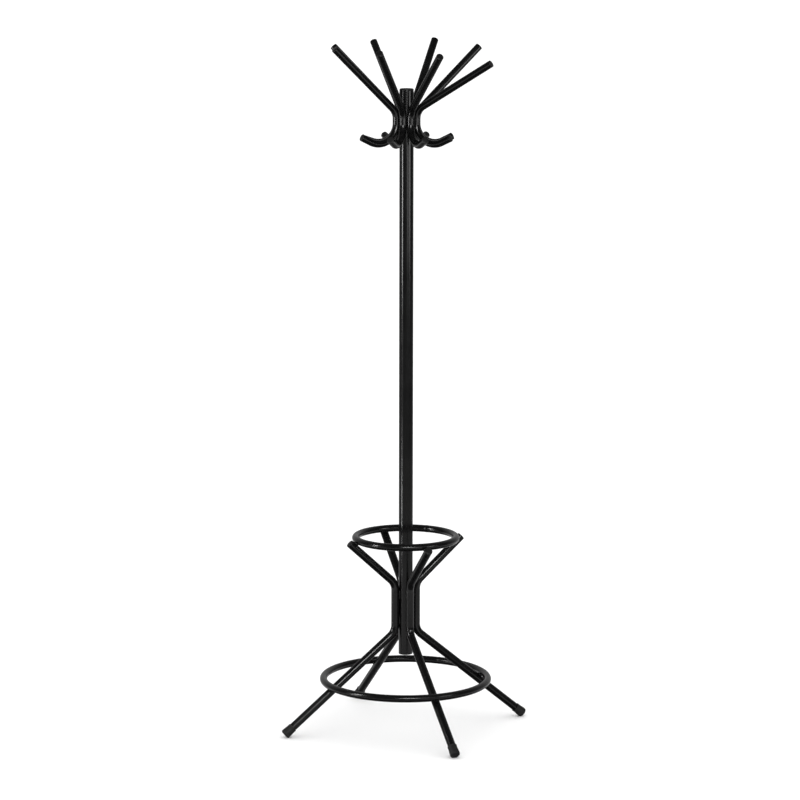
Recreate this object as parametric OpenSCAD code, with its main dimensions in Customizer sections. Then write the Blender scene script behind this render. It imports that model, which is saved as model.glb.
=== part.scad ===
// Free-standing steel coat rack with a ring for umbrellas.
// Millimetres, +Z up. The origin is on the floor under the upright tube, and +X runs along leg 1.

/* [Upright tube] */
// Outside diameter of the upright tube
pole_d = 35; // [34:0.5:40]
// Wall of the upright tube
pole_wall = 1.5; // [1:0.1:2.5]
// Height of the lower end of the upright tube
pole_bottom = 191; // [180:1:230]
// Height of the top of the rack's upright, with its cap
pole_top = 1602; // [1400:2:1800]

/* [Legs] */
// Outside diameter of each leg tube
leg_d = 20; // [16:0.5:22]
// Wall of each leg tube
leg_wall = 1.5; // [1:0.1:2]
// Bend radius of the leg tubes, at the axis
leg_bend_r = 36; // [30:1:40]
// Height where each leg starts to bend out towards its foot
leg_seat_low = 264; // [262:1:275]
// Height where each leg starts to bend out towards the umbrella ring
leg_seat_high = 354; // [340:1:370]
// Slope of the lower leg, down from level
leg_slope = 39.5; // [38:0.5:41]
// Slope of the upper arm, up from level
arm_slope = 42.5; // [40:0.5:46]
// Straight length of the upper arm
arm_len = 145; // [142:1:160]
// Turn of each leg away from its even place round the upright: the legs are set by hand too
leg_turn = [0, 3, 0, 2.5];

/* [Rings] */
// Outside diameter of the tube that both rings are bent from
ring_tube_d = 18; // [14:0.5:20]
// Wall of the ring tube
ring_wall = 1.2; // [1:0.1:2]
// Radius of the base ring, at the tube's axis
base_ring_r = 206; // [190:1:230]
// Radius of the umbrella ring, at the tube's axis
umbrella_ring_r = 125; // [115:1:130]

/* [Head] */
// Outside diameter of each peg rod
rod_d = 18; // [12:0.5:18]
// Wall of each peg rod
rod_wall = 1.2; // [1:0.1:2]
// Height where each rod starts to bend out into its lower hook
rod_seat_low = 1516; // [1300:1:1520]
// Straight length of each rod along the upright tube
rod_seat_len = 11; // [10:1:30]
// Bend radius of the lower hooks, at the rod's axis
hook_bend_r = 48; // [40:1:60]
// Straight length at the end of each lower hook
hook_end_len = 26; // [15:1:40]
// Bend radius below each peg, at the rod's axis
peg_bend_r = 37; // [30:1:50]
// Straight length of each peg
peg_len = 210; // [150:2:260]
// Lean of each peg from upright, in order round the rack: bent by hand, so no two are quite alike
peg_lean = [45.5, 39, 41.5, 46, 46.5, 49, 52, 59.5];
// Turn of each lower hook from straight down, bent by hand as well
hook_turn = [114, 112, 111, 106, 116, 113, 113, 115];
// Turn of each rod away from its even place round the upright
rod_turn = [-0.5, 0.5, 8, 6, 5.5, 6, 2.5, -1.5];

/* [Caps and plugs] */
// Diameter of a foot cap at its sole
foot_d = 25; // [24:0.5:30]
// Diameter of a foot cap at its mouth
foot_mouth_d = 23.6; // [22.5:0.1:24]
// Length of a foot cap that covers the leg
foot_skirt = 24; // [15:1:40]
// Thickness of a foot cap's sole
foot_sole = 4; // [3:0.5:6]
// How far the plugs' stems reach into their tubes
stem_len = 12; // [8:1:20]

/* [Welds] */
// Gap between welded tubes, bridged by the weld
weld_gap = 0.2; // [0.1:0.05:0.4]
// Radius of the weld beads along the legs
leg_bead_r = 2.6; // [2:0.1:3]
// Length of each weld bead along the legs
leg_bead_len = 22; // [10:1:40]
// Radius of the weld beads along the peg rods
rod_bead_r = 1.8; // [1.2:0.1:1.8]
// Radius of the weld around each crossing of a ring and a leg
crossing_weld_r = 7; // [6:0.5:8]

/* [Hidden] */
LEGS = 4;
RODS = 8;
$fn = 64;

// Play round a push-in stem, and round a leg in its foot cap
play = 0.1;
// How far a cutting shape runs past what it cuts
past = 1;
// Swell of a tube where each of its bends starts and ends
bend_swell = 0.05;
// Half the stretch that the swell bridges between straight and bent tube
swell_cover = 0.2;
// Open joint where each ring's tube ends meet
ring_seam = 0.3;
// Azimuth of that joint, halfway between two legs
ring_seam_at = 45;

// Distance of the beads from the ends of their seats
bead_margin = 1.5;
// Facets of a full turn of each ring
RING_FACETS = 180;
// Facets of the shallow domes on the caps and plugs
DOME_FACETS = 360;

pole_r = pole_d / 2;
leg_r = leg_d / 2;
rod_r = rod_d / 2;
ring_tube_r = ring_tube_d / 2;

// Edge and dome heights of the push-in caps and plugs, and the rounding of the foot caps' soles
pole_cap_edge = 3.2;
pole_cap_dome = 1.8;
pole_plug_edge = 2;
pole_plug_dome = 0.6;
rod_plug_edge = 1.2;
rod_plug_dome = 1.6;
arm_plug_edge = 1.4;
arm_plug_dome = 1.8;
foot_round_r = 4;

// The axis of each leg and rod where it runs up the upright tube
leg_axis_r = pole_r + leg_r + weld_gap;
rod_axis_r = pole_r + rod_r + weld_gap;

leg_seat_len = leg_seat_high - leg_seat_low;

// Turns of the leg tube away from upright
leg_bend_turn = 90 - leg_slope;
arm_bend_turn = 90 - arm_slope;

// Where the axis of the lower leg starts to run straight
leg_straight_r = leg_axis_r + leg_bend_r * (1 - cos(leg_bend_turn));
leg_straight_z = leg_seat_low - leg_bend_r * sin(leg_bend_turn);

// The lower leg's axis ends above the floor, so that the rounded rim of the cap's sole is cut flat by it
foot_flat = 1;
foot_rim_r = foot_d / 2 - foot_round_r;
sole_axis_z = foot_rim_r * cos(leg_slope) + foot_round_r - foot_round_r * sin(leg_slope) - foot_flat;
leg_len = (leg_straight_z - sole_axis_z) / sin(leg_slope) - foot_sole;

// Where the axis of the upper arm starts to run straight
arm_straight_r = leg_axis_r + leg_bend_r * (1 - cos(arm_bend_turn));
arm_straight_z = leg_seat_high + leg_bend_r * sin(arm_bend_turn);

// Both rings lie on the legs: the distance between the two axes is the sum of the radii
ring_stand = leg_r + ring_tube_r + weld_gap;
base_ring_z = leg_height(base_ring_r) + ring_stand / cos(leg_slope);
umbrella_ring_z = arm_height(umbrella_ring_r) + ring_stand / cos(arm_slope);

PAINT = [0.03, 0.03, 0.035];
PLASTIC = [0.05, 0.05, 0.05];
RUBBER = [0.07, 0.07, 0.07];

// Height of the lower leg's axis at a distance from the upright's axis
function leg_height(r) = leg_straight_z - (r - leg_straight_r) * tan(leg_slope);

// Height of the upper arm's axis at a distance from the upright's axis
function arm_height(r) = arm_straight_z + (r - arm_straight_r) * tan(arm_slope);

function leg_azimuth(i) = (i - 1) * 360 / LEGS + leg_turn[i - 1];

function rod_azimuth(i) = (i - 1) * 360 / RODS + rod_turn[i - 1];

// Angle at the upright's axis between a tube beside it and a bead in the corner between the two
function bead_angle(axis_r, tube_r, bead_in) =
    let (a = pole_r + bead_in, b = tube_r + bead_in)
    acos((a * a + axis_r * axis_r - b * b) / (2 * a * axis_r));

// Places its children at the end of a bend that starts upright at the origin and turns towards +X
module after_bend(bend_r, turn) {
    translate([bend_r * (1 - cos(turn)), 0, bend_r * sin(turn)])
        rotate([0, turn, 0])
            children();
}

// Ring-shaped outline of a tube's cross-section
module tube_section(d, wall) {
    difference() {
        circle(d = d);
        circle(d = d - 2 * wall);
    }
}

// Bar that bends towards +X and runs on straight, with a slight swell at both ends of the bend
module bent_end(r, bend_r, turn, length) {
    sphere(r + bend_swell);
    translate([bend_r, 0, 0])
        mirror([1, 0, 0])
            rotate([90, 0, 0])
                rotate_extrude(angle = turn)
                    translate([bend_r, 0])
                        circle(r);
    after_bend(bend_r, turn) {
        sphere(r + bend_swell);
        translate([0, 0, swell_cover])
            cylinder(r = r, h = length - swell_cover);
    }
}

// Bar with a straight seat that stands on the origin; each end is [bend radius, turn, straight length]
module bent_bar(r, seat_len, upper, lower, over) {
    translate([0, 0, swell_cover])
        cylinder(r = r, h = seat_len - 2 * swell_cover);
    translate([0, 0, seat_len])
        bent_end(r, upper[0], upper[1], upper[2] + over);
    mirror([0, 0, 1])
        bent_end(r, lower[0], lower[1], lower[2] + over);
}

module bent_tube(d, wall, seat_len, upper, lower) {
    difference() {
        bent_bar(d / 2, seat_len, upper, lower, 0);
        bent_bar(d / 2 - wall, seat_len, upper, lower, past);
    }
}

// Push-in plug: a domed head on the tube's end and a stem down its bore
module end_plug(d, wall, edge_h, dome_h) {
    head_h = edge_h + dome_h;
    dome_r = (d * d / 4 + dome_h * dome_h) / (2 * dome_h);
    rotate_extrude()
        intersection() {
            square([d / 2, head_h]);
            translate([0, head_h - dome_r])
                circle(dome_r, $fn = DOME_FACETS);
        }
    translate([0, 0, -stem_len])
        cylinder(d = d - 2 * wall - 2 * play, h = stem_len + edge_h / 2);
}

// Places its children on the axis of leg i, where it meets the upright, with +X outwards
module at_leg(i) {
    rotate([0, 0, leg_azimuth(i)])
        translate([leg_axis_r, 0, 0])
            children();
}

// Places its children at the lower end of leg i's tube, pointing down along it
module at_leg_foot(i) {
    at_leg(i)
        translate([0, 0, leg_seat_low])
            mirror([0, 0, 1])
                after_bend(leg_bend_r, leg_bend_turn)
                    translate([0, 0, leg_len])
                        children();
}

// Places its children at the upper end of leg i's tube, pointing up along it
module at_arm_tip(i) {
    at_leg(i)
        translate([0, 0, leg_seat_high])
            after_bend(leg_bend_r, arm_bend_turn)
                translate([0, 0, arm_len])
                    children();
}

// Places its children on the axis of rod i, where it meets the upright, with +X outwards
module at_rod(i) {
    rotate([0, 0, rod_azimuth(i)])
        translate([rod_axis_r, 0, rod_seat_low])
            children();
}

// Places its children at the tip of peg i, pointing out along it
module at_peg_tip(i) {
    at_rod(i)
        translate([0, 0, rod_seat_len])
            after_bend(peg_bend_r, peg_lean[i - 1])
                translate([0, 0, peg_len])
                    children();
}

// Places its children at the tip of lower hook i, pointing out along it
module at_hook_tip(i) {
    at_rod(i)
        mirror([0, 0, 1])
            after_bend(hook_bend_r, hook_turn[i - 1])
                translate([0, 0, hook_end_len])
                    children();
}

// Upright tube, open at both ends
module centre_pole() {
    color(PAINT)
        translate([0, 0, pole_bottom])
            linear_extrude(pole_top - pole_cap_edge - pole_cap_dome - pole_bottom)
                tube_section(pole_d, pole_wall);
}

// Domed cap pushed into the top of the upright
module pole_top_cap() {
    color(PLASTIC)
        translate([0, 0, pole_top - pole_cap_edge - pole_cap_dome])
            end_plug(pole_d, pole_wall, pole_cap_edge, pole_cap_dome);
}

// Flat plug pushed into the foot of the upright
module pole_bottom_plug() {
    color(PLASTIC)
        translate([0, 0, pole_bottom])
            mirror([0, 0, 1])
                end_plug(pole_d, pole_wall, pole_plug_edge, pole_plug_dome);
}

// One rod bent into a peg above and a hook below
module peg_hook(i) {
    peg = [peg_bend_r, peg_lean[i - 1], peg_len];
    hook = [hook_bend_r, hook_turn[i - 1], hook_end_len];
    color(PAINT)
        at_rod(i)
            bent_tube(rod_d, rod_wall, rod_seat_len, peg, hook);
}

// Plugs in the tips of the pegs
module peg_tip_plugs() {
    color(PLASTIC)
        for (i = [1:RODS])
            at_peg_tip(i)
                end_plug(rod_d, rod_wall, rod_plug_edge, rod_plug_dome);
}

// Plugs in the tips of the lower hooks
module hook_tip_plugs() {
    color(PLASTIC)
        for (i = [1:RODS])
            at_hook_tip(i)
                end_plug(rod_d, rod_wall, rod_plug_edge, rod_plug_dome);
}

// Weld beads on both sides of each rod, along the upright
module head_welds() {
    bead_in = rod_bead_r / 2;
    side = bead_angle(rod_axis_r, rod_r, bead_in);
    color(PAINT)
        difference() {
            for (i = [1:RODS], turn = [-side, side])
                rotate([0, 0, rod_azimuth(i) + turn])
                    translate([pole_r + bead_in, 0, rod_seat_low + bead_margin])
                        cylinder(r = rod_bead_r, h = rod_seat_len - 2 * bead_margin);
            translate([0, 0, rod_seat_low - past])
                cylinder(r = pole_r, h = rod_seat_len + 2 * past);
            for (i = [1:RODS])
                at_rod(i)
                    translate([0, 0, -past])
                        cylinder(r = rod_r, h = rod_seat_len + 2 * past);
        }
}

// One tube bent into a leg below and an arm above
module leg(i) {
    arm = [leg_bend_r, arm_bend_turn, arm_len];
    lower_leg = [leg_bend_r, leg_bend_turn, leg_len];
    color(PAINT)
        at_leg(i)
            translate([0, 0, leg_seat_low])
                bent_tube(leg_d, leg_wall, leg_seat_len, arm, lower_leg);
}

// Half outline of a foot cap, whose sole is at foot_sole and whose mouth is at -foot_skirt
module foot_cap_outline() {
    rim_points = [
        for (a = [0:15:90])
            [foot_rim_r + foot_round_r * cos(a), foot_sole - foot_round_r + foot_round_r * sin(a)]
    ];
    polygon(concat([[0, -foot_skirt], [foot_mouth_d / 2, -foot_skirt]], rim_points, [[0, foot_sole]]));
}

// Rubber cap over the end of a leg, cut flat where it stands on the floor
module foot_cap(i) {
    color(RUBBER)
        difference() {
            at_leg_foot(i)
                difference() {
                    rotate_extrude()
                        foot_cap_outline();
                    translate([0, 0, -foot_skirt - past])
                        cylinder(r = leg_r + play, h = foot_skirt + past);
                }
            rotate([0, 0, leg_azimuth(i)])
                translate([leg_straight_r, -foot_d, -2 * foot_d])
                    cube([base_ring_r * 2, 2 * foot_d, 2 * foot_d]);
        }
}

// Plugs in the tips of the arms
module arm_tip_plugs() {
    color(PLASTIC)
        for (i = [1:LEGS])
            at_arm_tip(i)
                end_plug(leg_d, leg_wall, arm_plug_edge, arm_plug_dome);
}

// Weld beads on both sides of each leg, at both ends of its seat on the upright
module leg_welds() {
    bead_in = leg_bead_r / 2;
    side = bead_angle(leg_axis_r, leg_r, bead_in);
    low = leg_seat_low + bead_margin;
    high = leg_seat_high - bead_margin - leg_bead_len;
    color(PAINT)
        difference() {
            for (i = [1:LEGS], turn = [-side, side], z = [low, high])
                rotate([0, 0, leg_azimuth(i) + turn])
                    translate([pole_r + bead_in, 0, z])
                        cylinder(r = leg_bead_r, h = leg_bead_len);
            translate([0, 0, leg_seat_low])
                cylinder(r = pole_r, h = leg_seat_len);
            for (i = [1:LEGS])
                at_leg(i)
                    translate([0, 0, leg_seat_low])
                        cylinder(r = leg_r, h = leg_seat_len);
        }
}

// Ring bent from tube, with its joint halfway between two legs
module ring(ring_r, height) {
    seam_turn = ring_seam / ring_r * 180 / PI;
    translate([0, 0, height])
        rotate([0, 0, ring_seam_at + seam_turn / 2])
            rotate_extrude(angle = 360 - seam_turn, $fn = RING_FACETS)
                translate([ring_r, 0])
                    tube_section(ring_tube_d, ring_wall);
}

// Welds where a ring crosses the legs; out and up point from the leg's axis to the ring's
module crossing_welds(ring_r, height, slope, out) {
    reach = leg_r + weld_gap / 2;
    weld_x = ring_r - out * (ring_stand - reach) * sin(slope);
    weld_z = height - (ring_stand - reach) * cos(slope);
    for (i = [1:LEGS])
        rotate([0, 0, leg_azimuth(i)])
            difference() {
                translate([weld_x, 0, weld_z])
                    sphere(crossing_weld_r);
                translate([weld_x - out * reach * sin(slope), 0, weld_z - reach * cos(slope)])
                    rotate([0, 90 + out * slope, 0])
                        cylinder(r = leg_r, h = 4 * crossing_weld_r, center = true);
                translate([0, 0, height])
                    rotate_extrude($fn = RING_FACETS)
                        translate([ring_r, 0])
                            circle(ring_tube_r);
            }
}

module base_ring() {
    color(PAINT)
        ring(base_ring_r, base_ring_z);
}

module base_ring_welds() {
    color(PAINT)
        crossing_welds(base_ring_r, base_ring_z, leg_slope, 1);
}

module umbrella_ring() {
    color(PAINT)
        ring(umbrella_ring_r, umbrella_ring_z);
}

module umbrella_ring_welds() {
    color(PAINT)
        crossing_welds(umbrella_ring_r, umbrella_ring_z, arm_slope, -1);
}

centre_pole();
pole_top_cap();
pole_bottom_plug();
for (i = [1:RODS])
    peg_hook(i);
peg_tip_plugs();
hook_tip_plugs();
head_welds();
for (i = [1:LEGS])
    leg(i);
for (i = [1:LEGS])
    foot_cap(i);
arm_tip_plugs();
leg_welds();
base_ring();
base_ring_welds();
umbrella_ring();
umbrella_ring_welds();
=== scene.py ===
"""Looks of a free-standing coat rack of bent steel tube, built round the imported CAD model.

The frame is the CAD's: metres, +Z up, the origin on the floor under the upright and +X along leg 1.
Shapes are worked out in millimetres, as in the CAD source, and become metres in make_piece.
"""

import math

import bpy
import numpy as np
from mathutils import Matrix, Vector


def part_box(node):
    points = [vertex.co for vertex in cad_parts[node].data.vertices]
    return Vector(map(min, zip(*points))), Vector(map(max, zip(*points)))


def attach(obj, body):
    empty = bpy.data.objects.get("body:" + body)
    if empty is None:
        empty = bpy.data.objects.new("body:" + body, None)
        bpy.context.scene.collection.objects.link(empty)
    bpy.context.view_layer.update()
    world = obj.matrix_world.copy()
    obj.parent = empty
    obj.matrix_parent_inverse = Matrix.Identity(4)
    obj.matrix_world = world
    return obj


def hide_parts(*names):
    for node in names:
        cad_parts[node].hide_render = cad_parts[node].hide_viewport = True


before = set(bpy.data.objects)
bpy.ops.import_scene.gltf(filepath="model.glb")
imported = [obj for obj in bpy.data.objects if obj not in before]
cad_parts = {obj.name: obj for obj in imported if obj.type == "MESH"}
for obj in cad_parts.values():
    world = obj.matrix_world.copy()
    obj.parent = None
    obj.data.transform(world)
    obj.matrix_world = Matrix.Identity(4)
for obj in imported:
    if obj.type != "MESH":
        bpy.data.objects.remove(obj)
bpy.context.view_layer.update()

MM = 0.001
UPWARD = np.array((0, 0, 1.0))

# ---------------------------------------------------------------- sizes
# As in the CAD source: lengths in millimetres, and slopes, leans and turns in degrees
POLE_R = 17.5
POLE_WALL = 1.5
LEG_R = 10.0
LEG_WALL = 1.5
LEG_BEND_R = 36.0
LEG_SEAT = (264.0, 354.0)
LEG_SLOPE = 39.5
ARM_SLOPE = 42.5
ARM_LEN = 145.0
LEG_TURN = (0, 3, 0, 2.5)
RING_TUBE_R = 9.0
ROD_R = 9.0
ROD_WALL = 1.2
ROD_SEAT = (1516.0, 1527.0)
ROD_TURN = (-0.5, 0.5, 8, 6, 5.5, 6, 2.5, -1.5)
HOOK_BEND_R = 48.0
HOOK_TURN = (114, 112, 111, 106, 116, 113, 113, 115)
HOOK_END_LEN = 26.0
PEG_BEND_R = 37.0
PEG_LEN = 210.0
PEG_LEAN = (45.5, 39, 41.5, 46, 46.5, 49, 52, 59.5)
WELD_GAP = 0.2
LEG_BEAD_R = 2.6
LEG_BEAD_LEN = 22.0
ROD_BEAD_R = 1.8
BEAD_MARGIN = 1.5
CROSSING_WELD_R = 7.0
FOOT_SOLE_R = 12.5
FOOT_MOUTH_R = 11.8
FOOT_ROUND_R = 4.0
FOOT_FLAT = 1.0
FOOT_SKIRT = 24.0
FOOT_SOLE = 4.0
STEM_LEN = 12.0
PLAY = 0.1
LEGS = 4
RODS = 8

LEG_AXIS_R = POLE_R + LEG_R + WELD_GAP
ROD_AXIS_R = POLE_R + ROD_R + WELD_GAP


def node_mm(node):
    """Lowest and highest corners of a CAD node, in millimetres."""
    lo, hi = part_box(node)
    return np.array(lo) / MM, np.array(hi) / MM


def ring_place(node):
    """Radius of a ring, to its tube's centre line, and its height."""
    lo, hi = node_mm(node)
    return (hi[0] - lo[0]) / 2 - RING_TUBE_R, (hi[2] + lo[2]) / 2


# Heights and radii that the CAD model settles
POLE_BOTTOM = node_mm("centre_pole")[0][2]
POLE_TOP = node_mm("centre_pole")[1][2]
POLE_CAP_TOP = node_mm("pole_top_cap")[1][2]
POLE_PLUG_LOW = node_mm("pole_bottom_plug")[0][2]
BASE_RING_R, BASE_RING_Z = ring_place("base_ring")
UMBRELLA_RING_R, UMBRELLA_RING_Z = ring_place("umbrella_ring")


def leg_azimuth(i):
    return math.radians(360 / LEGS * i + LEG_TURN[i])


def rod_azimuth(i):
    return math.radians(360 / RODS * i + ROD_TURN[i])


# ---------------------------------------------------------------- centre lines of the bent tubes
# Distances between rows: along a bend in degrees, and along the straight parts in millimetres
BEND_STEP = 3.0
STRAIGHT_STEP = 25.0
POLE_STEP = 60.0


def bend_path(bend_r, turn, length):
    """Rows of (x, z, tangent x, tangent z): a bend that starts upright at the origin, then a straight end."""
    turn = math.radians(turn)
    count = math.ceil(math.degrees(turn) / BEND_STEP)
    rows = []
    for k in range(1, count + 1):
        a = turn * k / count
        rows.append((bend_r * (1 - math.cos(a)), bend_r * math.sin(a), math.sin(a), math.cos(a)))
    x, z, tx, tz = rows[-1]
    pieces = math.ceil(length / STRAIGHT_STEP)
    for k in range(1, pieces + 1):
        s = length * k / pieces
        rows.append((x + s * tx, z + s * tz, tx, tz))
    return rows


def bent_centreline(seat, upper, lower):
    """Rows from the lower tip to the upper one, where x is measured out from the axis of the seat."""
    up = [(x, seat[1] + z, tx, tz) for x, z, tx, tz in bend_path(*upper)]
    down = [(x, seat[0] - z, -tx, tz) for x, z, tx, tz in bend_path(*lower)]
    return down[::-1] + [(0, seat[0], 0, 1), (0, seat[1], 0, 1)] + up


def straight_rows(low, high):
    count = math.ceil((high - low) / POLE_STEP)
    return [(0, low + (high - low) * k / count, 0, 1) for k in range(count + 1)]


def outward_and_side(azimuth):
    """Level unit vectors: out from the upright at azimuth, and across to the left of it."""
    out = np.array((math.cos(azimuth), math.sin(azimuth), 0))
    side = np.array((-math.sin(azimuth), math.cos(azimuth), 0))
    return out, side


def tip_of(rows, end, azimuth, axis_r):
    """Point and outward direction at an end of a centre line, where end is 0 or -1."""
    out, _ = outward_and_side(azimuth)
    x, z, tx, tz = rows[end]
    sign = 1 if end == -1 else -1
    return (axis_r + x) * out + z * UPWARD, sign * (tx * out + tz * UPWARD)


# ---------------------------------------------------------------- mesh building
class Shell:
    """Rings of vertices that are joined one after another and closed at both ends."""

    def __init__(self):
        self.verts, self.faces, self.marks = [], [], []

    def add(self, rings, first=None, last=None, marks=None, closed=False):
        """Adds equal-sized rings of points; first and last are end points that close the shell."""
        start = len(self.verts)
        size = len(rings[0])
        for k, ring in enumerate(rings):
            self.verts.extend(map(tuple, ring))
            self.marks.extend(marks[k] if marks is not None else [0.0] * size)
        pairs = len(rings) if closed else len(rings) - 1
        for k in range(pairs):
            a, b = start + k * size, start + (k + 1) % len(rings) * size
            for j in range(size):
                n = (j + 1) % size
                self.faces.append((a + j, a + n, b + n, b + j))
        if first is not None:
            centre = self.add_point(first)
            self.faces += [(centre, start + (j + 1) % size, start + j) for j in range(size)]
        if last is not None:
            centre = self.add_point(last)
            end = start + (len(rings) - 1) * size
            self.faces += [(centre, end + j, end + (j + 1) % size) for j in range(size)]

    def add_point(self, point):
        self.verts.append(tuple(point))
        self.marks.append(0.0)
        return len(self.verts) - 1


def around_circle(count):
    return np.arange(count) / count * 2 * math.pi


def circle_at(point, side, up, radius, count):
    a = around_circle(count)
    return point + radius * (np.outer(np.cos(a), side) + np.outer(np.sin(a), up))


# An axis whose unit vector rises or falls by more than this is too near to upright for a sideways direction
# to be found from UPWARD
NEARLY_UPRIGHT = 0.9


def lathe(shell, base, axis, profile, count):
    """Turns profile rows (radius, height) about axis; the first and last rows are on the axis."""
    axis = axis / np.linalg.norm(axis)
    off_axis = UPWARD if abs(axis[2]) < NEARLY_UPRIGHT else np.array((1.0, 0, 0))
    side = np.cross(off_axis, axis)
    side /= np.linalg.norm(side)
    up = np.cross(axis, side)
    rings = [circle_at(base + h * axis, side, up, r, count) for r, h in profile[1:-1]]
    shell.add(rings, base + profile[0][1] * axis, base + profile[-1][1] * axis)


SHOULDER_STEPS = 14


def squircle(radius, base, height, power):
    """Profile rows from the side at base up to the crown on the axis: flat on top with a rounded shoulder."""
    rows = []
    for k in range(SHOULDER_STEPS + 1):
        t = math.pi / 2 * k / SHOULDER_STEPS
        rows.append((radius * math.cos(t) ** (2 / power), base + height * math.sin(t) ** (2 / power)))
    rows[-1] = (0.0, base + height)
    return rows


# Radius of a tube's rim on the outside, and width of the edge broken off it on the inside
TUBE_RIM = 0.45
BORE_RIM = 0.25
RIM_STATIONS = 4
# Distance from a rim to the extra ring that keeps the shading of the tube beyond it straight
SUPPORT = 0.6
SOCKET_DEPTH = STEM_LEN + 2


def tube_along(shell, rows, azimuth, axis_r, radius, wall, count, wear=None):
    """Bent tube in the upright plane at azimuth, with rounded rims and a socket bored in each end."""
    out, side = outward_and_side(azimuth)
    bore = radius - wall
    first, last = rows[0], rows[-1]
    body = rows[1:-1]

    def station(row, shift, r):
        """Ring of radius r round the centre line, shifted along it from a row, and the ring's middle."""
        x, z, tx, tz = row
        tangent = tx * out + tz * UPWARD
        point = (axis_r + x) * out + z * UPWARD + shift * tangent
        return circle_at(point, side, np.cross(tangent, side), r, count), point

    def rim(row, inward, angles):
        return [
            station(row, inward * TUBE_RIM * (1 - math.cos(a)), radius - TUBE_RIM * (1 - math.sin(a)))
            for a in angles
        ]

    quarter = np.linspace(0, math.pi / 2, RIM_STATIONS)
    stations = [station(first, SOCKET_DEPTH, bore), station(first, BORE_RIM, bore)]
    stations += [station(first, 0, bore + BORE_RIM)] + rim(first, 1, quarter)
    stations += [station(first, TUBE_RIM + SUPPORT, radius)]
    body_start = len(stations)
    stations += [station(row, 0, radius) for row in body]
    stations += [station(last, -TUBE_RIM - SUPPORT, radius)]
    stations += rim(last, -1, quarter[::-1]) + [station(last, 0, bore + BORE_RIM)]
    stations += [station(last, -BORE_RIM, bore), station(last, -SOCKET_DEPTH, bore)]

    marks = np.zeros((len(stations), count))
    if wear is not None:
        for k, row in enumerate(body):
            marks[body_start + k] = wear(row, np.sin(around_circle(count)))
    shell.add([s[0] for s in stations], stations[0][1], stations[-1][1], marks=marks.tolist())


# Outlines of a plug, as steps out and up: its stem's end, from the stem's side and end; one groove, from the
# stem's side and the groove's start; and the head's lower edge, from the tube's side and rim, with HEAD_LIFT
# between rim and head
STEM_END = ((-1.0, 0), (-0.2, 0.8), (0, 1.6))
STEM_GROOVE = ((0, 0), (-0.35, 0.3), (-0.35, 1.2), (0, 1.6))
HEAD_LIFT = 0.05
HEAD_EDGE = ((-0.45, HEAD_LIFT), (-0.12, 0.2), (0, 0.5))
GROOVES = 3
FIRST_GROOVE = 3.0
GROOVE_PITCH = 2.6


def plug(shell, tip, direction, radius, wall, edge, height, power, count):
    """Push-in plug: a stem in the bore and a head as wide as the tube, with a rounded shoulder."""
    stem = radius - wall - PLAY
    profile = [(0, -STEM_LEN)] + [(stem + r, -STEM_LEN + h) for r, h in STEM_END]
    for k in range(GROOVES):
        start = -STEM_LEN + FIRST_GROOVE + GROOVE_PITCH * k
        profile += [(stem + r, start + h) for r, h in STEM_GROOVE]
    profile += [(stem, HEAD_LIFT)] + [(radius + r, h) for r, h in HEAD_EDGE]
    profile += squircle(radius, edge, height - edge, power)
    lathe(shell, tip, direction, profile, count)


def make_piece(name, shell, material, node, flat_above=40):
    """Smooth-shaded piece that stands for a CAD node; an edge turned over flat_above degrees stays sharp."""
    mesh = bpy.data.meshes.new(name)
    mesh.from_pydata([tuple(c * MM for c in v) for v in shell.verts], [], shell.faces)
    mesh.validate()
    if any(shell.marks):
        mark = mesh.attributes.new("wear", "FLOAT", "POINT")
        mark.data.foreach_set("value", np.array(shell.marks, np.float32))
    mesh.polygons.foreach_set("use_smooth", [True] * len(mesh.polygons))
    mesh.set_sharp_from_angle(angle=math.radians(flat_above))
    mesh.materials.append(material)
    piece = bpy.data.objects.new(name, mesh)
    bpy.context.scene.collection.objects.link(piece)
    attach(piece, "root")
    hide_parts(node)


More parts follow.
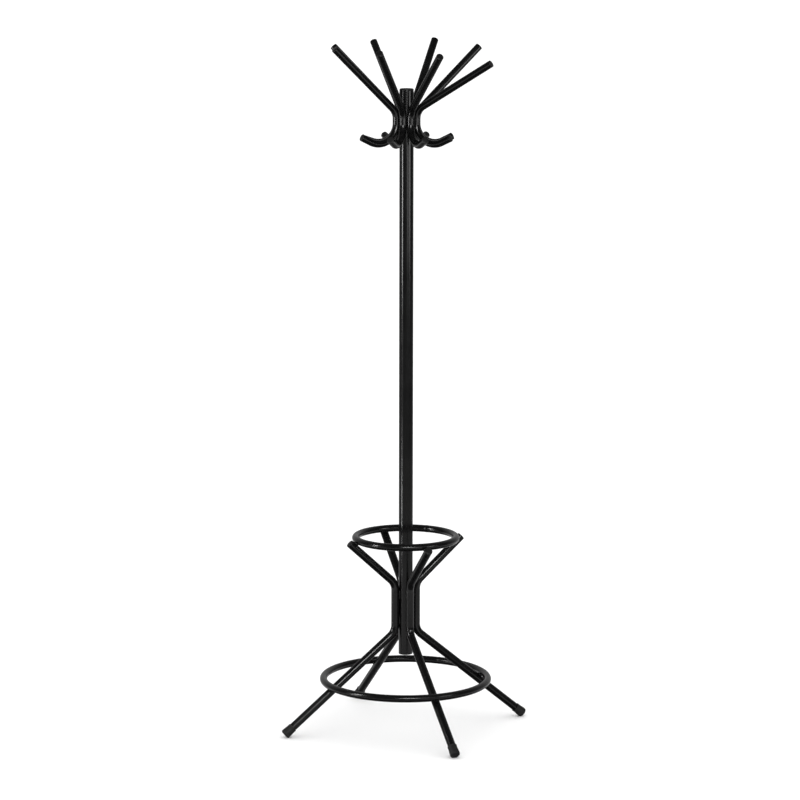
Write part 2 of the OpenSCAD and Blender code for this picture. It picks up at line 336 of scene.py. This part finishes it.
# ---------------------------------------------------------------- shader helpers
class NodeTree:
    """Short calls that add and link the nodes of a material or of the world."""

    def __init__(self, tree):
        self.nodes, self.links = tree.nodes, tree.links

    def add(self, kind):
        return self.nodes.new(kind)

    def feed(self, socket, value):
        """Links an output to a socket, or sets the socket to a plain number or colour."""
        if isinstance(value, (int, float)):
            socket.default_value = value
        elif isinstance(value, tuple):
            socket.default_value = (*value, 1)
        else:
            self.links.new(value, socket)

    def noise(self, coords, scale, detail=2.0, roughness=0.5):
        node = self.add("ShaderNodeTexNoise")
        node.inputs["Scale"].default_value = scale
        node.inputs["Detail"].default_value = detail
        node.inputs["Roughness"].default_value = roughness
        self.feed(node.inputs["Vector"], coords)
        return node.outputs["Fac"]

    def ramp(self, value, low, high, from_low, from_high):
        """Maps from_low..from_high to low..high, held at both ends."""
        node = self.add("ShaderNodeMapRange")
        node.inputs["From Min"].default_value = from_low
        node.inputs["From Max"].default_value = from_high
        node.inputs["To Min"].default_value = low
        node.inputs["To Max"].default_value = high
        self.feed(node.inputs["Value"], value)
        return node.outputs["Result"]

    def maths(self, operation, a, b):
        node = self.add("ShaderNodeMath")
        node.operation = operation
        self.feed(node.inputs[0], a)
        self.feed(node.inputs[1], b)
        return node.outputs["Value"]

    def mix_colours(self, factor, a, b):
        node = self.add("ShaderNodeMix")
        node.data_type = "RGBA"
        self.feed(node.inputs["Factor"], factor)
        # Inputs 6 and 7 and output 2 are the ones for colours
        self.feed(node.inputs[6], a)
        self.feed(node.inputs[7], b)
        return node.outputs[2]

    def bump(self, height, distance, strength, below=None):
        node = self.add("ShaderNodeBump")
        node.inputs["Distance"].default_value = distance
        node.inputs["Strength"].default_value = strength
        self.feed(node.inputs["Height"], height)
        if below is not None:
            self.feed(node.inputs["Normal"], below)
        return node.outputs["Normal"]

    def coordinates(self, kind):
        return self.add("ShaderNodeTexCoord").outputs[kind]

    def height_of(self, vector):
        node = self.add("ShaderNodeSeparateXYZ")
        self.feed(node.inputs["Vector"], vector)
        return node.outputs["Z"]


def new_material(name):
    material = bpy.data.materials.new(name)
    material.use_nodes = True
    return material, NodeTree(material.node_tree), material.node_tree.nodes["Principled BSDF"].inputs


# ---------------------------------------------------------------- materials
# A noise is its scale, detail and roughness. A span is the range of its values that is spread over 0 to 1.
# A bump is its height in metres and its strength.
CLOUD_SPAN = (0.3, 0.7)

PAINT_TONES = ((0.0024, 0.0024, 0.0025), (0.0040, 0.0040, 0.0041))
PAINT_ROUGHNESS = (0.17, 0.23)
PAINT_IOR = 1.5
PAINT_CLOUD = (9, 4, 0.6)
DUST_TONE = (0.016, 0.016, 0.0165)
DUST_COVER = 0.35
DUST_NOISE = (700, 1)
DUST_SPAN = (0.68, 0.74)
RUBBED_TONE = (0.006, 0.006, 0.006)
RUBBED_SHINE = 0.1
SCUFF_NOISE = (160, 5, 0.7)
SCUFF_SPAN = (0.42, 0.6)
PEEL_NOISE = (380, 1.5)
PEEL_BUMP = (0.00007, 0.22)
PAINT_GRAIN = (1900, 2)
PAINT_GRAIN_BUMP = (0.000012, 0.3)

PLASTIC_TONES = ((0.004, 0.004, 0.004), (0.007, 0.007, 0.007))
PLASTIC_ROUGHNESS = (0.40, 0.52)
PLASTIC_IOR = 1.49
PLASTIC_CLOUD = (30, 3)
PLASTIC_GRAIN = (1500, 3, 0.6)
PLASTIC_GRAIN_BUMP = (0.00004, 0.5)

RUBBER_TONES = ((0.005, 0.005, 0.005), (0.008, 0.008, 0.0078))
RUBBER_ROUGHNESS = (0.5, 0.66)
RUBBER_IOR = 1.5
RUBBER_CLOUD = (60, 4, 0.65)
RUBBER_GRAIN = (1100, 3, 0.6)
RUBBER_GRAIN_BUMP = (0.00006, 0.6)
FLOOR_DUST_TONE = (0.035, 0.0335, 0.031)
FLOOR_DUST_COVER = 0.55
# In metres
FLOOR_DUST_HEIGHT = 0.012
FLOOR_DUST_SPAN = (0.4, 0.65)


def clouded(tree, cloud, low, high):
    """Spreads a noise over low..high, which are numbers or colours."""
    if isinstance(low, tuple):
        return tree.mix_colours(tree.ramp(cloud, 0, 1, *CLOUD_SPAN), low, high)
    return tree.ramp(cloud, low, high, *CLOUD_SPAN)


def paint_material():
    """Semi-gloss black powder coat: orange peel, fine dust, and a rubbed shine inside the hooks."""
    material, tree, shader = new_material("black_powder_coat")
    coords = tree.coordinates("Object")
    cloud = tree.noise(coords, *PAINT_CLOUD)
    specks = tree.ramp(tree.noise(coords, *DUST_NOISE), 0, DUST_COVER, *DUST_SPAN)
    wear = tree.add("ShaderNodeAttribute")
    wear.attribute_name = "wear"
    scuffs = tree.ramp(tree.noise(coords, *SCUFF_NOISE), 0, 1, *SCUFF_SPAN)
    worn = tree.maths("MULTIPLY", wear.outputs["Fac"], scuffs)
    dusty = tree.mix_colours(specks, clouded(tree, cloud, *PAINT_TONES), DUST_TONE)
    tree.feed(shader["Base Color"], tree.mix_colours(worn, dusty, RUBBED_TONE))
    rough = clouded(tree, cloud, *PAINT_ROUGHNESS)
    shine = tree.maths("MULTIPLY", worn, RUBBED_SHINE)
    tree.feed(shader["Roughness"], tree.maths("SUBTRACT", rough, shine))
    shader["IOR"].default_value = PAINT_IOR
    peel = tree.bump(tree.noise(coords, *PEEL_NOISE), *PEEL_BUMP)
    tree.feed(shader["Normal"], tree.bump(tree.noise(coords, *PAINT_GRAIN), *PAINT_GRAIN_BUMP, peel))
    return material


def plastic_material():
    """Satin moulded plastic with a fine eroded grain."""
    material, tree, shader = new_material("black_moulded_plastic")
    coords = tree.coordinates("Object")
    cloud = tree.noise(coords, *PLASTIC_CLOUD)
    tree.feed(shader["Base Color"], clouded(tree, cloud, *PLASTIC_TONES))
    tree.feed(shader["Roughness"], clouded(tree, cloud, *PLASTIC_ROUGHNESS))
    shader["IOR"].default_value = PLASTIC_IOR
    tree.feed(shader["Normal"], tree.bump(tree.noise(coords, *PLASTIC_GRAIN), *PLASTIC_GRAIN_BUMP))
    return material


def rubber_material():
    """Matt rubber, greyed by floor dust near the sole."""
    material, tree, shader = new_material("black_rubber")
    coords = tree.coordinates("Object")
    cloud = tree.noise(coords, *RUBBER_CLOUD)
    near_floor = tree.ramp(tree.height_of(coords), FLOOR_DUST_COVER, 0.0, 0.0, FLOOR_DUST_HEIGHT)
    dust = tree.maths("MULTIPLY", near_floor, tree.ramp(cloud, 0, 1, *FLOOR_DUST_SPAN))
    tone = clouded(tree, cloud, *RUBBER_TONES)
    tree.feed(shader["Base Color"], tree.mix_colours(dust, tone, FLOOR_DUST_TONE))
    tree.feed(shader["Roughness"], clouded(tree, cloud, *RUBBER_ROUGHNESS))
    shader["IOR"].default_value = RUBBER_IOR
    tree.feed(shader["Normal"], tree.bump(tree.noise(coords, *RUBBER_GRAIN), *RUBBER_GRAIN_BUMP))
    return material


PAINT = paint_material()
PLASTIC = plastic_material()
RUBBER = rubber_material()


# ---------------------------------------------------------------- upright
POLE_SIDES = 96
# Height of a plug's edge and squareness of its shoulder
POLE_CAP_SHAPE = (2.0, 3.0)
POLE_PLUG_SHAPE = (1.2, 3.4)


def pole_plug(name, node, end, direction, head, shape):
    """Plug in an end of the upright, with a head of the given height."""
    shell = Shell()
    edge, power = shape
    plug(shell, end * UPWARD, direction, POLE_R, POLE_WALL, edge, head, power, POLE_SIDES)
    make_piece(name, shell, PLASTIC, node)


shell = Shell()
tube_along(shell, straight_rows(POLE_BOTTOM, POLE_TOP), 0, 0, POLE_R, POLE_WALL, POLE_SIDES)
make_piece("upright_tube", shell, PAINT, "centre_pole")
cap_head, foot_head = POLE_CAP_TOP - POLE_TOP, POLE_BOTTOM - POLE_PLUG_LOW
pole_plug("upright_cap", "pole_top_cap", POLE_TOP, UPWARD, cap_head, POLE_CAP_SHAPE)
pole_plug("upright_foot_plug", "pole_bottom_plug", POLE_BOTTOM, -UPWARD, foot_head, POLE_PLUG_SHAPE)


# ---------------------------------------------------------------- peg rods
# How far the rubbed patch spreads along a hook, and how far out from the seat it may begin
WEAR_SPREAD = 22.0
WEAR_START = 8.0
ROD_SIDES = 48
# Radius, wall, height of the head's edge, height of its crown and squareness of its shoulder
ROD_PLUG = (ROD_R, ROD_WALL, 0.75, 2.8, 2.8)


def hook_wear(row, around):
    """1 in the saddle of the lower hook, on the side where hangers rub."""
    x, z, tx, tz = row
    if z > ROD_SEAT[0] or x < WEAR_START:
        return np.zeros(len(around))
    along = math.exp(-((x - HOOK_BEND_R) / WEAR_SPREAD) ** 2)
    return along * np.clip(-around * np.sign(tz if tz else 1), 0, 1)


peg_plugs, hook_plugs = Shell(), Shell()
for i in range(RODS):
    rows = bent_centreline(
        ROD_SEAT, (PEG_BEND_R, PEG_LEAN[i], PEG_LEN), (HOOK_BEND_R, HOOK_TURN[i], HOOK_END_LEN)
    )
    shell = Shell()
    tube_along(shell, rows, rod_azimuth(i), ROD_AXIS_R, ROD_R, ROD_WALL, ROD_SIDES, hook_wear)
    make_piece(f"peg_rod_{i + 1}", shell, PAINT, f"peg_hook_{i + 1}")
    plug(peg_plugs, *tip_of(rows, -1, rod_azimuth(i), ROD_AXIS_R), *ROD_PLUG, ROD_SIDES)
    plug(hook_plugs, *tip_of(rows, 0, rod_azimuth(i), ROD_AXIS_R), *ROD_PLUG, ROD_SIDES)
make_piece("peg_plugs", peg_plugs, PLASTIC, "peg_tip_plugs")
make_piece("hook_plugs", hook_plugs, PLASTIC, "hook_tip_plugs")


# ---------------------------------------------------------------- legs, foot caps and arm plugs
LEG_SIDES = 64
ARM_PLUG = (LEG_R, LEG_WALL, 0.9, 3.2, 2.8)
FOOT_SIDES = 72
FOOT_SHARP_ABOVE = 35
# Outlines of a foot cap's mouth, as steps out and up: its bevel, from the bore, and its lip, from the skirt
MOUTH_BEVEL = ((0, 0.8), (0.25, 0.2), (0.6, 0))
MOUTH_LIP = ((-0.75, 0.1), (-0.2, 0.4), (0, 0.9), (0, 1.5), (-0.18, 2.0), (-0.45, 2.3), (-0.5, 2.9))
# Where the skirt starts to flare, above its lip
SKIRT_START = (FOOT_MOUTH_R - 0.42, -FOOT_SKIRT + 4)
SKIRT_STEPS = 8
# Step round the sole's edge, in degrees
ROUND_STEP = 9
# Radii and depth of the shallow hollow in the sole
HOLLOW_RIM, HOLLOW_EDGE, HOLLOW_MIDDLE = 6.5, 5.9, 2.0
HOLLOW_DEPTH = 0.5


def leg_length():
    """Length of the lower leg's straight part, found from where the CAD foot cap reaches."""
    slope = math.radians(LEG_SLOPE)
    turn = math.radians(90 - LEG_SLOPE)
    start_z = LEG_SEAT[0] - LEG_BEND_R * math.sin(turn)
    rim_r = FOOT_SOLE_R - FOOT_ROUND_R
    sole_axis_z = rim_r * math.cos(slope) + FOOT_ROUND_R - FOOT_ROUND_R * math.sin(slope) - FOOT_FLAT
    return (start_z - sole_axis_z) / math.sin(slope) - FOOT_SOLE


def foot_profile():
    """Half outline of a foot cap: bore, lipped mouth, flared skirt and rounded sole."""
    bore = LEG_R + PLAY
    rows = [(0, 0), (bore, 0)]
    rows += [(bore + r, -FOOT_SKIRT + h) for r, h in MOUTH_BEVEL]
    rows += [(FOOT_MOUTH_R + r, -FOOT_SKIRT + h) for r, h in MOUTH_LIP]
    flare = FOOT_SOLE_R - SKIRT_START[0]
    rise = FOOT_SOLE - FOOT_ROUND_R - SKIRT_START[1]
    for k in range(SKIRT_STEPS + 1):
        t = k / SKIRT_STEPS
        ease = t * t * (3 - 2 * t)
        rows.append((SKIRT_START[0] + flare * ease, SKIRT_START[1] + rise * t))
    for a in np.radians(np.arange(ROUND_STEP, 91, ROUND_STEP)):
        inward = FOOT_ROUND_R * (1 - math.cos(a))
        rows.append((FOOT_SOLE_R - inward, FOOT_SOLE - FOOT_ROUND_R * (1 - math.sin(a))))
    hollow = FOOT_SOLE - HOLLOW_DEPTH
    return rows + [(HOLLOW_RIM, FOOT_SOLE), (HOLLOW_EDGE, hollow), (HOLLOW_MIDDLE, hollow), (0, hollow)]


LEG_ROWS = bent_centreline(
    LEG_SEAT, (LEG_BEND_R, 90 - ARM_SLOPE, ARM_LEN), (LEG_BEND_R, 90 - LEG_SLOPE, leg_length())
)

arm_plugs = Shell()
for i in range(LEGS):
    azimuth = leg_azimuth(i)
    shell = Shell()
    tube_along(shell, LEG_ROWS, azimuth, LEG_AXIS_R, LEG_R, LEG_WALL, LEG_SIDES)
    make_piece(f"leg_tube_{i + 1}", shell, PAINT, f"leg_{i + 1}")
    shell = Shell()
    lathe(shell, *tip_of(LEG_ROWS, 0, azimuth, LEG_AXIS_R), foot_profile(), FOOT_SIDES)
    # The sole is flat where it stands on the floor
    shell.verts = [(x, y, max(z, 0.0)) for x, y, z in shell.verts]
    make_piece(
        f"rubber_foot_{i + 1}", shell, RUBBER, f"foot_cap_{i + 1}", FOOT_SHARP_ABOVE
    )
    plug(arm_plugs, *tip_of(LEG_ROWS, -1, azimuth, LEG_AXIS_R), *ARM_PLUG, LEG_SIDES)
make_piece("arm_plugs", arm_plugs, PLASTIC, "arm_tip_plugs")


# ---------------------------------------------------------------- rings
RING_STATIONS = 240
RING_SIDES = 40
# The butt weld: where it is on the ring, the length to each side of it that has closer stations, how far it
# stands proud, and how far it spreads along the tube
SEAM_AT = math.radians(45)
SEAM_HALF = 5.0
SEAM_STATIONS = 41
SEAM_HEIGHT = 0.32
SEAM_SPREAD = 2.0
# Share of the seam's height that ripples, and the turns in radians that it makes in each millimetre
SEAM_RIPPLE, SEAM_RIPPLE_RATE = 0.2, 2.6


def ring_piece(name, node, ring_r, height):
    """Ring of tube with a slightly proud butt weld where its ends meet."""
    near = np.linspace(-SEAM_HALF, SEAM_HALF, SEAM_STATIONS) / ring_r + SEAM_AT
    far = np.linspace(near[-1], near[0] + 2 * math.pi, RING_STATIONS + 1)[1:-1]
    rings = []
    for a in np.concatenate([near, far]):
        out, _ = outward_and_side(a)
        offset = (a - SEAM_AT) * ring_r
        swell = 0.0
        if abs(offset) <= SEAM_HALF:
            ripple = 1 + SEAM_RIPPLE * math.cos(offset * SEAM_RIPPLE_RATE)
            swell = SEAM_HEIGHT * math.exp(-(offset / SEAM_SPREAD) ** 2) * ripple
        rings.append(
            circle_at(ring_r * out + height * UPWARD, out, -UPWARD, RING_TUBE_R + swell, RING_SIDES)
        )
    shell = Shell()
    shell.add([r[::-1] for r in rings], closed=True)
    make_piece(name, shell, PAINT, node)


ring_piece("base_ring_tube", "base_ring", BASE_RING_R, BASE_RING_Z)
ring_piece("umbrella_ring_tube", "umbrella_ring", UMBRELLA_RING_R, UMBRELLA_RING_Z)


# ---------------------------------------------------------------- weld beads along the upright
BEAD_SIDES = 28
BEAD_STEP = 0.3
LEG_BEAD_PITCH = 2.1
ROD_BEAD_PITCH = 1.9
# First of the seeds that make each bead waver in its own way
LEG_BEAD_SEED = 100
ROD_BEAD_SEED = 200
# How far the bead's mean surface stays inside the CAD bead, to leave room for its puddles
BEAD_INSET = 0.12
PUDDLE_HEIGHT = 0.11
PUDDLE_SINK = 0.06
# Shares of a pitch by which the puddles sag round the bead, and by which one bead's differ from another's
PUDDLE_SAG = 0.28
PUDDLE_SHIFT = 0.3
# Sideways drift and swelling of a bead, and the turns in radians that they make in each millimetre
DRIFT, DRIFT_RATE = 0.12, 0.55
SWELL, SWELL_RATE = 0.07, 0.9
# Radians over which the drift and swelling of different beads start
START_SPREAD = 6
# From a bead's end point to its nearest ring
BEAD_TIP = 0.02


def bead_angle(axis_r, tube_r, bead_in):
    """Angle at the upright's centre between a tube and a bead whose middle is bead_in outside both."""
    a, b = POLE_R + bead_in, tube_r + bead_in
    return math.acos((a * a + axis_r * axis_r - b * b) / (2 * a * axis_r))


def bead(shell, azimuth, radius, low, high, seed, pitch):
    """Upright weld bead in the corner between the upright and a tube, laid as overlapping puddles."""
    rng = np.random.default_rng(seed)
    out, side = outward_and_side(azimuth)
    centre = (POLE_R + radius / 2) * out
    angles = around_circle(BEAD_SIDES)
    around = np.outer(np.cos(angles), out) + np.outer(np.sin(angles), side)
    steps = math.ceil((high - low) / BEAD_STEP)
    waver = rng.uniform(-0.5, 0.5, 3)
    phase = rng.uniform(0, 1)
    rings = []
    for z in np.linspace(low + BEAD_TIP, high - BEAD_TIP, steps):
        end = max(0.0, low + radius - z, z - high + radius)
        full = math.sqrt(max(0.0, 1 - (end / radius) ** 2))
        puddle = (z / pitch + phase + PUDDLE_SAG * np.cos(angles) + waver[0] * PUDDLE_SHIFT) % 1.0
        ripple = PUDDLE_HEIGHT * (1 - (2 * puddle - 1) ** 2) - PUDDLE_SINK
        drift = DRIFT * math.sin(z * DRIFT_RATE + waver[1] * START_SPREAD) * side
        swell = SWELL * math.sin(z * SWELL_RATE + waver[2] * START_SPREAD)
        r = (radius - BEAD_INSET + ripple + swell) * full
        ring = centre + drift + r[:, None] * around
        ring[:, 2] = z
        rings.append(ring)
    shell.add(rings, centre + low * UPWARD, centre + high * UPWARD)


shell = Shell()
side_turn = bead_angle(LEG_AXIS_R, LEG_R, LEG_BEAD_R / 2)
bead_lows = (LEG_SEAT[0] + BEAD_MARGIN, LEG_SEAT[1] - BEAD_MARGIN - LEG_BEAD_LEN)
for i in range(LEGS):
    for s in (-1, 1):
        for k, low in enumerate(bead_lows):
            seed = LEG_BEAD_SEED + 10 * i + 2 * k + (s > 0)
            azimuth = leg_azimuth(i) + s * side_turn
            bead(shell, azimuth, LEG_BEAD_R, low, low + LEG_BEAD_LEN, seed, LEG_BEAD_PITCH)
make_piece("leg_weld_beads", shell, PAINT, "leg_welds")

shell = Shell()
side_turn = bead_angle(ROD_AXIS_R, ROD_R, ROD_BEAD_R / 2)
low, high = ROD_SEAT[0] + BEAD_MARGIN, ROD_SEAT[1] - BEAD_MARGIN
for i in range(RODS):
    for s in (-1, 1):
        seed = ROD_BEAD_SEED + 2 * i + (s > 0)
        bead(shell, rod_azimuth(i) + s * side_turn, ROD_BEAD_R, low, high, seed, ROD_BEAD_PITCH)
make_piece("rod_weld_beads", shell, PAINT, "head_welds")


# ---------------------------------------------------------------- fillet welds at the crossings
FILLET_SEED = 300
FILLET_SIDES = 96
FILLET_PUDDLES = 19
FILLET_INSET = 0.2
FILLET_RIPPLE = 0.16
FILLET_SINK = 0.1
# Share of a puddle by which the ripples lean over the fillet's height
FILLET_LEAN = 0.25
# Height and number of the slow waves round a fillet, and radians over which they start
FILLET_WAVE, FILLET_WAVES, FILLET_WAVE_SPREAD = 0.14, 3, 9
# Half the height of a fillet's outline and its end points' distance from the middle
FILLET_HALF = 4.2
FILLET_TIP = 4.3
# The outline's first and last stations in degrees, their number and how square its shoulders are
FILLET_SPAN = (-80, 80)
FILLET_STATIONS = 17
FILLET_SQUARE = 0.6


def crossing_weld(shell, azimuth, ring_r, height, slope, out_sign, seed):
    """Fillet weld round the touching point of a ring and a tube under it.

    The tube slopes down outwards where out_sign is 1, and up outwards where it is -1.
    """
    rng = np.random.default_rng(seed)
    slope = math.radians(slope)
    out, across = outward_and_side(azimuth)
    normal = out_sign * math.sin(slope) * out + math.cos(slope) * UPWARD
    along = np.cross(across, normal)
    middle = ring_r * out + height * UPWARD - (RING_TUBE_R + WELD_GAP / 2) * normal
    phase = rng.uniform(0, 1)
    angles = around_circle(FILLET_SIDES)
    around = np.outer(np.cos(angles), along) + np.outer(np.sin(angles), across)
    puddle = (angles / (2 * math.pi) * FILLET_PUDDLES + phase) % 1.0
    uneven = FILLET_WAVE * np.sin(FILLET_WAVES * angles + phase * FILLET_WAVE_SPREAD)
    rings = []
    for t in np.radians(np.linspace(*FILLET_SPAN, FILLET_STATIONS)):
        lean = FILLET_LEAN * math.sin(t)
        ripple = FILLET_RIPPLE * (1 - (2 * ((puddle + lean) % 1.0) - 1) ** 2) - FILLET_SINK
        r = CROSSING_WELD_R - FILLET_INSET + (ripple + uneven) * math.cos(t)
        r = r * math.cos(t) ** FILLET_SQUARE
        rings.append(middle + r[:, None] * around + FILLET_HALF * math.sin(t) * normal)
    shell.add(rings, middle - FILLET_TIP * normal, middle + FILLET_TIP * normal)


for name, node, ring_r, height, slope, out_sign in (
    ("base_ring_fillets", "base_ring_welds", BASE_RING_R, BASE_RING_Z, LEG_SLOPE, 1),
    ("umbrella_ring_fillets", "umbrella_ring_welds", UMBRELLA_RING_R, UMBRELLA_RING_Z, ARM_SLOPE, -1),
):
    shell = Shell()
    for i in range(LEGS):
        crossing_weld(shell, leg_azimuth(i), ring_r, height, slope, out_sign, FILLET_SEED + i)
    make_piece(name, shell, PAINT, node)


# ---------------------------------------------------------------- camera
CAMERA_AZIMUTH = math.radians(-109.9)
CAMERA_DISTANCE = 7.38
CAMERA_HEIGHT = 1.989
CAMERA_PITCH = math.radians(8.8)
CAMERA_ROLL = 0.0019
CAMERA_SHIFT = (-0.00755, -0.00705)
CAMERA_REACH = 1000
SENSOR = 36.0
# Focal length in widths of the sensor
FOCAL_WIDTHS = 3.77

# Level directions: from the upright towards the camera, and to the camera's right
toward = np.array((math.cos(CAMERA_AZIMUTH), math.sin(CAMERA_AZIMUTH), 0))
right = np.array((-toward[1], toward[0], 0))

camera_data = bpy.data.cameras.new("camera")
camera_data.sensor_width = SENSOR
camera_data.lens = SENSOR * FOCAL_WIDTHS
camera_data.shift_x, camera_data.shift_y = CAMERA_SHIFT
camera_data.clip_end = CAMERA_REACH
camera = bpy.data.objects.new("camera", camera_data)
bpy.context.scene.collection.objects.link(camera)
camera.location = Vector((*(CAMERA_DISTANCE * toward[:2]), CAMERA_HEIGHT))
look = Vector(-toward * math.cos(CAMERA_PITCH) - UPWARD * math.sin(CAMERA_PITCH))
turned = look.to_track_quat("-Z", "Y").to_matrix() @ Matrix.Rotation(CAMERA_ROLL, 3, "Z")
camera.rotation_mode = "QUATERNION"
camera.rotation_quaternion = turned.to_quaternion()
bpy.context.scene.camera = camera


# ---------------------------------------------------------------- studio lights
def softbox(name, angle, distance, low, high, width, power):
    """Upright rectangular light that faces the upright, seen only in the gloss.

    Angle is in degrees, seen from above, from the camera round to its left. Distance, the heights of the
    edges and the width are in metres, and power is in watts.
    """
    a = math.radians(angle)
    way = math.cos(a) * toward - math.sin(a) * right
    data = bpy.data.lights.new(name, "AREA")
    data.shape = "RECTANGLE"
    data.size = width
    data.size_y = high - low
    data.energy = power
    lamp = bpy.data.objects.new(name, data)
    bpy.context.scene.collection.objects.link(lamp)
    lamp.location = Vector((*(distance * way[:2]), (low + high) / 2))
    lamp.rotation_mode = "QUATERNION"
    lamp.rotation_quaternion = Vector((way[0], way[1], 0)).to_track_quat("Z", "Y")
    lamp.visible_camera = False
    lamp.visible_diffuse = False


# The world gives the even white light; these give the bright edges
softbox("strip_left", 67, 2.3, 0.86, 1.56, 0.34, 14)
softbox("card_left_low", 69, 2.3, 0.02, 0.27, 0.34, 4.2)
softbox("softbox_right", -55, 2.8, 0.94, 1.56, 1.0, 7.0)
softbox("softbox_middle", -24, 2.8, 0.94, 1.56, 1.0, 3.8)
softbox("front", -5, 4.0, 1.8, 2.5, 1.5, 52)


# ---------------------------------------------------------------- world
WHITE = (1.0, 1.0, 1.0)
LIGHT_STRENGTH = 1.24
# Brightness of the mirrored room, and of the backdrop behind the rack
ROOM_BRIGHT, BACKDROP_BRIGHT = 0.02, 0.36
# Cosines of the angle to the backdrop's middle where it begins to show, and where it is brightest
BACKDROP_SPAN = (0.15, 0.85)
# Brightness of the lit paper round the foot of the rack, and the directions' heights, level being 0 and
# straight down -1, over which it fades in on its far side and out on its near side
PAPER_BRIGHT = 0.7
PAPER_FAR = (-0.19, -0.23)
PAPER_NEAR = (-0.40, -0.55)


def mirrored_studio(tree):
    """What the gloss mirrors: a dim room, with a brighter backdrop behind the rack and lit paper below."""
    direction = tree.coordinates("Generated")
    facing = tree.add("ShaderNodeVectorMath")
    facing.operation = "DOT_PRODUCT"
    facing.inputs[1].default_value = tuple(-toward)
    tree.feed(facing.inputs[0], direction)
    backdrop = tree.ramp(facing.outputs["Value"], ROOM_BRIGHT, BACKDROP_BRIGHT, *BACKDROP_SPAN)
    height = tree.height_of(direction)
    far_side = tree.ramp(height, 0.0, 1.0, *PAPER_FAR)
    near_side = tree.ramp(height, 1.0, 0.0, *PAPER_NEAR)
    paper = tree.maths("MULTIPLY", tree.maths("MULTIPLY", far_side, near_side), PAPER_BRIGHT)
    return tree.maths("MAXIMUM", backdrop, paper)


def studio_world():
    """White to the camera, the mirrored studio to glossy rays, and even white light to all others."""
    world = bpy.data.worlds.new("studio")
    world.use_nodes = True
    tree = NodeTree(world.node_tree)
    tree.nodes.clear()
    rays = tree.add("ShaderNodeLightPath")

    def background(colour, strength):
        node = tree.add("ShaderNodeBackground")
        node.inputs["Strength"].default_value = strength
        tree.feed(node.inputs["Color"], colour)
        return node.outputs["Background"]

    def choose(ray, otherwise, chosen):
        node = tree.add("ShaderNodeMixShader")
        tree.feed(node.inputs[0], rays.outputs[ray])
        tree.feed(node.inputs[1], otherwise)
        tree.feed(node.inputs[2], chosen)
        return node.outputs[0]

    lighting = background(WHITE, LIGHT_STRENGTH)
    unseen = choose("Is Glossy Ray", lighting, background(mirrored_studio(tree), 1.0))
    surface = choose("Is Camera Ray", unseen, background(WHITE, 1.0))
    tree.feed(tree.add("ShaderNodeOutputWorld").inputs["Surface"], surface)
    bpy.context.scene.world = world


studio_world()


# ---------------------------------------------------------------- floor
FLOOR_HALF = 400.0
FLOOR_TONE = (0.95, 0.95, 0.95)
FLOOR_ROUGHNESS = 0.9

floor_mesh = bpy.data.meshes.new("floor")
corners = [(x * FLOOR_HALF, y * FLOOR_HALF, 0) for x, y in ((-1, -1), (1, -1), (1, 1), (-1, 1))]
floor_mesh.from_pydata(corners, [], [(0, 1, 2, 3)])
floor_material, tree, shader = new_material("pale_floor")
tree.feed(shader["Base Color"], FLOOR_TONE)
shader["Roughness"].default_value = FLOOR_ROUGHNESS
shader["Specular IOR Level"].default_value = 0.0
floor_mesh.materials.append(floor_material)
floor = bpy.data.objects.new("floor", floor_mesh)
bpy.context.scene.collection.objects.link(floor)
floor.visible_glossy = False

view = bpy.context.scene.view_settings
view.view_transform = "Standard"
view.look = "None"
view.exposure = 0.0
view.gamma = 1.0
